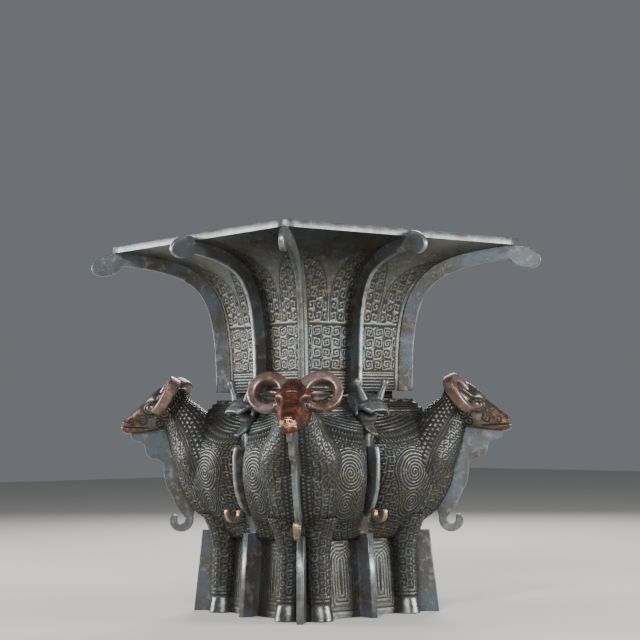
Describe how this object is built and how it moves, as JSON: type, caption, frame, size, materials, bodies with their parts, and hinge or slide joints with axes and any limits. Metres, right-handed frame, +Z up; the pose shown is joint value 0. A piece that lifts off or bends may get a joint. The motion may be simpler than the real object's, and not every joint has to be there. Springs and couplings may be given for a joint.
{
  "type": "bronze ritual wine vessel",
  "caption": "Square bronze wine vessel with a flaring mouth, raised flanges, four rams at the corners, dragon heads on the shoulder and a high square foot.",
  "frame": {"origin": "centre of the square foot, on the plane that it stands on", "axes": "+Z up through the mouth; +X and +Y square to two neighbouring sides, so that the rams stand on the diagonals"},
  "size_m": [0.5418, 0.5418, 0.583],
  "materials": {
    "bronze": "patinated"
  },
  "bodies": {
    "root": {"vessel": "bronze"}
  },
  "joints": []
}
